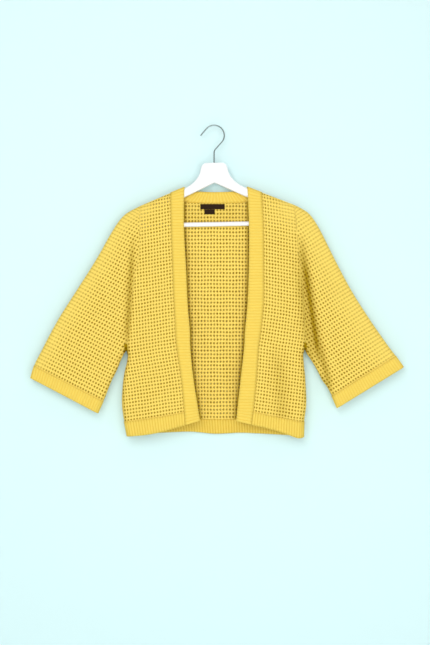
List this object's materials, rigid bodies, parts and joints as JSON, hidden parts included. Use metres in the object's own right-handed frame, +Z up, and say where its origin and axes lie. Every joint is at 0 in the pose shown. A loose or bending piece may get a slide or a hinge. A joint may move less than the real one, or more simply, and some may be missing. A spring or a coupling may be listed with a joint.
{
  "type": "openwork cardigan on hanger",
  "caption": "Open-front openwork knit cardigan with wide three-quarter sleeves and ribbed band, hem and cuffs, hanging on a flat hanger with a bar.",
  "frame": {"origin": "point inside the top of the hanger's hook, where it rests on a rail", "axes": "+Z up, +X to the right and +Y away from someone who faces the open front"},
  "size_m": [0.8956, 0.0474, 0.7508],
  "materials": {
    "openwork_knit": "yellow cotton yarn in an openwork knit",
    "ribbed_knit": "yellow cotton yarn in a fine rib",
    "woven_tag": "black woven satin tape, plain",
    "white_hanger": "white satin paint",
    "hook_steel": "polished steel wire"
  },
  "bodies": {
    "root": {"back_panel": "openwork_knit", "front_left": "openwork_knit", "front_right": "openwork_knit", "sleeve_left": "openwork_knit", "sleeve_right": "openwork_knit", "front_band": "ribbed_knit", "hem_front_left": "ribbed_knit", "hem_front_right": "ribbed_knit", "hem_back": "ribbed_knit", "cuff_left": "ribbed_knit", "cuff_right": "ribbed_knit", "neck_label": "woven_tag", "size_tag": "woven_tag", "hanger": "white_hanger", "hanger_bar": "white_hanger", "hanger_hook": "hook_steel"}
  },
  "joints": []
}
